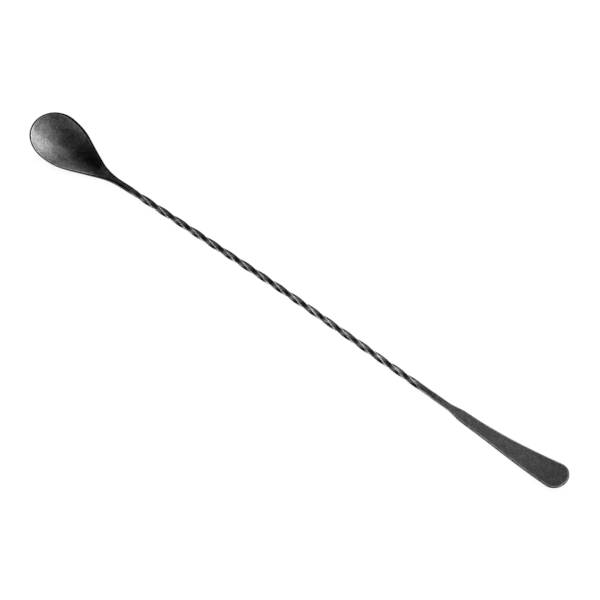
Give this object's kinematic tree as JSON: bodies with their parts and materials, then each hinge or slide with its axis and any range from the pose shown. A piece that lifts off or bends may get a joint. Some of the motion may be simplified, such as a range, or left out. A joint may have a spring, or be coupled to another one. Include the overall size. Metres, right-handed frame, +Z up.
{
  "type": "bar spoon",
  "caption": "Long bar spoon: pressed teardrop bowl, right-hand twisted square rod and flat paddle end, joined by dressed butt welds.",
  "frame": {"origin": "on the surface that the spoon lies on, under the middle of its outline", "axes": "+X runs along the spoon from the bowl to the paddle, +Z is up out of the open bowl, +Y is across"},
  "size_m": [0.335, 0.0274, 0.0099],
  "materials": {
    "bowl_metal": "stainless steel, tumbled and coated near-black, satin with a fine mottled grain",
    "rod_metal": "stainless steel, tumbled and coated near-black, worn slightly brighter on the twisted edges",
    "paddle_metal": "stainless steel, tumbled and coated near-black, fine even grain",
    "weld_metal": "dressed weld metal under the same near-black coating"
  },
  "bodies": {
    "root": {"bowl": "bowl_metal", "bowl_weld": "weld_metal", "twisted_shaft": "rod_metal", "paddle_weld": "weld_metal", "paddle": "paddle_metal"}
  },
  "joints": []
}
